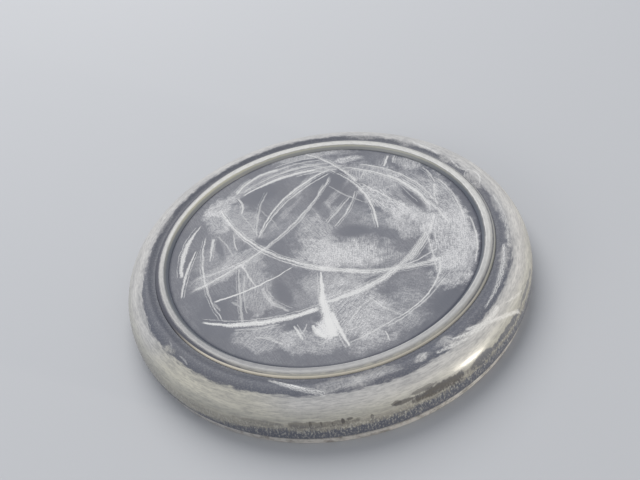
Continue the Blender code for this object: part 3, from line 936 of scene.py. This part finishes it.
    # the bare patches are painted brown at the left as a painted warm reflection, and near black at the
    # right
    bareReflectionColour = blendColour(tree, ramp(tree, toRight, 0.35, 0.60), bareReflectionTone, underTone)
    powderAndPaintedLight = blendColour(tree, bare, powderAndPaintedLight, bareReflectionColour)
    rubbed = strongest(tree, [band, onTop])
    colour = blendColour(tree, rubbed, black, powderAndPaintedLight)
    colour = blendColour(tree, strokes, colour, strokeAndHighlightTone)
    tree.links.new(blendColour(tree, dashes, colour, greenTone), shader.inputs["Base Color"])
    polish = ramp(tree, height, 9.5, 13.0, *bodyWear["roughness"])
    tree.links.new(calc(tree, "MULTIPLY_ADD", rubbed, 0.02, polish), shader.inputs["Roughness"])
    addBump(tree, shader, mixedRelief(tree, grain, lines, 0.45), *bodyWear["bump"])
    return material


ringWear = {
    "paleLimit": (48.75, 49.7),    # the pale band ends here at the sides, and at the front and back
    "innerStart": (46.80, 47.15),
    "foot": (49.35, 49.55),        # the thin bright line at the foot, a painted highlight
    "roughness": (0.34, 0.44),
    "bump": (0.3, 0.00006),
}


def ringMaterial():
    material, tree, shader, place = startMaterial("ringFinish")
    polar = placeGroup(tree, polarPlace, Place=place)
    radius, height, around = (polar.outputs[name] for name in ("Radius", "Height", "Round"))
    toRight = vectorCalc(tree, "DOT_PRODUCT", around, (1.0, 0.0, 0.0))
    toFront = vectorCalc(tree, "DOT_PRODUCT", around, (0.0, -1.0, 0.0))
    toLowerLeft = vectorCalc(tree, "DOT_PRODUCT", around, (-0.78, -0.62, 0.0))
    grain = placeGroup(tree, fineGrain, Place=place)
    lines = placeGroup(tree, turnedLines, Radius=radius, Height=height, Round=around, Pitch=0.2)
    fibres = roundNoise(tree, around, radius, 24.0, 1.6, 4.0, 0.65)
    wobble = calc(tree, "MULTIPLY", calc(tree, "SUBTRACT", fibres, 0.5), 0.9)
    strayed = calc(tree, "ADD", radius, wobble)
    # rubbed down to the foot at the front and the back, less far at the right and least at the left
    facing = calc(tree, "MULTIPLY", toFront, toFront)
    limit = calc(tree, "MULTIPLY_ADD", toRight, 0.30, ramp(tree, facing, 0.3, 0.95, *ringWear["paleLimit"]))
    outside = ramp(tree, calc(tree, "SUBTRACT", strayed, limit), -0.45, 0.25, 1.0, 0.03)
    start = ramp(tree, toRight, -0.9, -0.2, 0.35, 0.0)
    inward = calc(tree, "SUBTRACT", calc(tree, "MULTIPLY_ADD", wobble, 0.5, radius), start)
    inside = ramp(tree, inward, *ringWear["innerStart"])
    # a painted highlight: a thin bright line along the sharp inner arris
    arris = calc(tree, "MULTIPLY", ramp(tree, radius, 47.00, 47.08),
                 ramp(tree, radius, 47.20, 47.34, 0.8, 0.0))
    # darker bands: across the ring at the lower left, and across its outer slope at the front
    darkerBands = calc(tree, "MULTIPLY", ramp(tree, toLowerLeft, 0.5, 0.95),
                  ramp(tree, strayed, 47.9, 48.25, 0.4, 0.0))
    middle = calc(tree, "MULTIPLY", ramp(tree, strayed, 48.3, 48.7),
                  ramp(tree, strayed, 48.8, 49.2, 1.0, 0.0))
    middle = calc(tree, "MULTIPLY", middle, ramp(tree, toFront, 0.0, 0.7, 0.0, 0.35))
    darkerBands = strongest(tree, [darkerBands, middle])
    # painted highlights: thin bright lines along the foot of the ring, at the front and at the right
    foot = calc(tree, "MULTIPLY", ramp(tree, radius, *ringWear["foot"]),
                ramp(tree, toFront, 0.45, 0.75, 0.0, 0.9))
    footRightHighlight = calc(tree, "MULTIPLY", ramp(tree, radius, 49.15, 49.35),
                     ramp(tree, toRight, 0.6, 0.9, 0.0, 0.75))
    streaky = calc(tree, "MULTIPLY", ramp(tree, fibres, 0.30, 0.60, 0.74, 1.0),
                   ramp(tree, lines.outputs["Line"], 0.30, 0.60, 0.78, 1.0))
    rubbed = calc(tree, "MULTIPLY", calc(tree, "MULTIPLY", outside, inside), streaky)
    rubbed = calc(tree, "MULTIPLY", rubbed, calc(tree, "SUBTRACT", 1.0, darkerBands))
    rubbed = calc(tree, "MULTIPLY", rubbed, ramp(tree, toFront, 0.0, 0.9, 1.0, 0.62))
    rubbed = strongest(tree, [rubbed, footRightHighlight])
    # the inner slope is dark at its foot and olive next to the arris, paler at the far side: partly
    # half-worn, partly painted light that the steep slope does not catch
    wall = blendColour(tree, ramp(tree, toFront, -0.9, -0.1, 1.0, 0.0), wallTone, wallToneFar)
    high = calc(tree, "MULTIPLY", ramp(tree, calc(tree, "MULTIPLY_ADD", wobble, 0.3, radius), 46.5, 46.9),
                ramp(tree, toFront, -0.8, 0.1, 1.0, 0.15))
    wall = blendColour(tree, high, wall, wallToneHigh)
    under = blendColour(tree, inside, wall, blackToneWarm)
    # painted light: the outer slope is painted paler and warmer towards the front
    paintedWarmLight = calc(tree, "MULTIPLY", ramp(tree, strayed, 48.0, 49.6), ramp(tree, toFront, 0.0, 0.6, 0.1, 1.0))
    powderAndPaintedLight = blendColour(tree, paintedWarmLight, ringTone, warmTone)
    powderAndPaintedLight = blendColour(tree, arris, powderAndPaintedLight, strokeAndHighlightTone)
    colour = blendColour(tree, rubbed, under, powderAndPaintedLight)
    # the painted highlight at the foot goes over everything
    tree.links.new(blendColour(tree, foot, colour, footHighlightTone), shader.inputs["Base Color"])
    tree.links.new(ramp(tree, rubbed, 0.0, 1.0, *ringWear["roughness"]), shader.inputs["Roughness"])
    addBump(tree, shader, mixedRelief(tree, grain, lines, 0.4), *ringWear["bump"])
    return material


lipWear = {
    "worn": (0.34, 0.56),
    "roughness": (0.5, 0.65),
    "bump": (0.3, 0.00008),
}


def baseMaterial():
    material, tree, shader, place = startMaterial("lipFinish")
    polar = placeGroup(tree, polarPlace, Place=place)
    radius, height, around = (polar.outputs[name] for name in ("Radius", "Height", "Round"))
    grain = placeGroup(tree, fineGrain, Place=place)
    lines = placeGroup(tree, turnedLines, Radius=radius, Height=height, Round=around, Pitch=0.3)
    fibres = roundNoise(tree, around, height, 30.0, 0.8, 4.0, 0.65)
    worn = calc(tree, "MULTIPLY_ADD", fibres, 0.7, calc(tree, "MULTIPLY", lines.outputs["Line"], 0.3))
    edge = calc(tree, "MULTIPLY", ramp(tree, worn, *lipWear["worn"]),
                ramp(tree, radius, 56.5, 58.9, 0.30, 1.0))
    tree.links.new(blendColour(tree, edge, lipToneDark, lipTone), shader.inputs["Base Color"])
    roughness = ramp(tree, grain.outputs["Grain"], 0.3, 0.7, *lipWear["roughness"])
    tree.links.new(roughness, shader.inputs["Roughness"])
    addBump(tree, shader, mixedRelief(tree, grain, lines, 0.5), *lipWear["bump"])
    return material


def dress(piece, material):
    piece.data.materials.clear()
    piece.data.materials.append(material)


dress(body, bodyMaterial())
dress(ring, ringMaterial())
dress(face, faceMaterial())
dress(base, baseMaterial())
print("finishes applied")

for piece, node, slot in ((body, "disc_body", "black_ebonite"), (ring, "bead_ring", "rubbed_ebonite"),
                          (face, "face_plate", "scuffed_face"), (base, "base_plate", "pale_lip")):
    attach(piece, "root")
    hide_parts(node)


# a plain pale floor
floorSetup = {"size": 3.0, "drop": 0.00002, "tone": (0.50, 0.51, 0.53, 1.0), "roughness": 0.85}


def makeFloor():
    deselectAll()
    bpy.ops.mesh.primitive_plane_add(size=floorSetup["size"], location=(0, 0, -floorSetup["drop"]))
    floor = bpy.context.active_object
    floor.name = "paleFloor"
    material = bpy.data.materials.new("paleFloorFinish")
    material.use_nodes = True
    shader = material.node_tree.nodes["Principled BSDF"]
    shader.inputs["Base Color"].default_value = floorSetup["tone"]
    shader.inputs["Roughness"].default_value = floorSetup["roughness"]
    floor.data.materials.append(material)


# the lamps: where each stands as seen from the disc, in degrees and metres
lampSetup = [
    {"name": "mainLamp", "azimuth": 98, "elevation": 54, "distance": 1.0, "size": 0.85, "power": 7.6,
     "colour": (1.0, 0.985, 0.96)},
    {"name": "sideLamp", "azimuth": 205, "elevation": 24, "distance": 0.8, "size": 0.5, "power": 1.3,
     "colour": (1.0, 0.98, 0.93)},
    {"name": "lowWarmLamp", "azimuth": -37, "elevation": 2.6, "distance": 0.5, "size": 0.03, "power": 1.4,
     "colour": (1.0, 0.93, 0.80)},
]


# even light from all round, slightly cool
roomLight = {"tone": (0.88, 0.92, 1.0, 1.0), "strength": 0.48}


def makeLamps():
    for lamp in lampSetup:
        azimuth, elevation = math.radians(lamp["azimuth"]), math.radians(lamp["elevation"])
        direction = Vector((math.cos(azimuth) * math.cos(elevation),
                            math.sin(azimuth) * math.cos(elevation), math.sin(elevation)))
        deselectAll()
        bpy.ops.object.light_add(type="AREA", location=direction * lamp["distance"])
        light = bpy.context.active_object
        light.name = lamp["name"]
        light.data.shape = "DISK"
        light.data.size = lamp["size"]
        light.data.energy = lamp["power"]
        light.data.color = lamp["colour"]
        light.rotation_euler = direction.to_track_quat("Z", "Y").to_euler()
    world = bpy.data.worlds.new("studio")
    world.use_nodes = True
    background = world.node_tree.nodes["Background"]
    background.inputs["Color"].default_value = roomLight["tone"]
    background.inputs["Strength"].default_value = roomLight["strength"]
    bpy.context.scene.world = world


# the camera looks down at the disc and is held slightly tilted
cameraSetup = {
    "elevation": 41.52,
    "roll": -11.70,
    "distance": 0.2100,
    "aim": (-0.0004, 0.0139, 0.0),
    "lens": 36.42,
}


def makeCamera():
    elevation = math.radians(cameraSetup["elevation"])
    back = Vector((0, -math.cos(elevation), math.sin(elevation)))
    deselectAll()
    bpy.ops.object.camera_add(location=Vector(cameraSetup["aim"]) + back * cameraSetup["distance"])
    camera = bpy.context.active_object
    camera.name = "viewCamera"
    level = back.to_track_quat("Z", "Y")
    camera.rotation_euler = (level @ Quaternion((0, 0, 1), math.radians(cameraSetup["roll"]))).to_euler()
    camera.data.sensor_width = 36.0
    camera.data.lens = cameraSetup["lens"]
    camera.data.clip_start = 0.01
    bpy.context.scene.camera = camera


makeFloor()
makeLamps()
makeCamera()
bpy.context.scene.view_settings.view_transform = "Standard"
print("stage set")
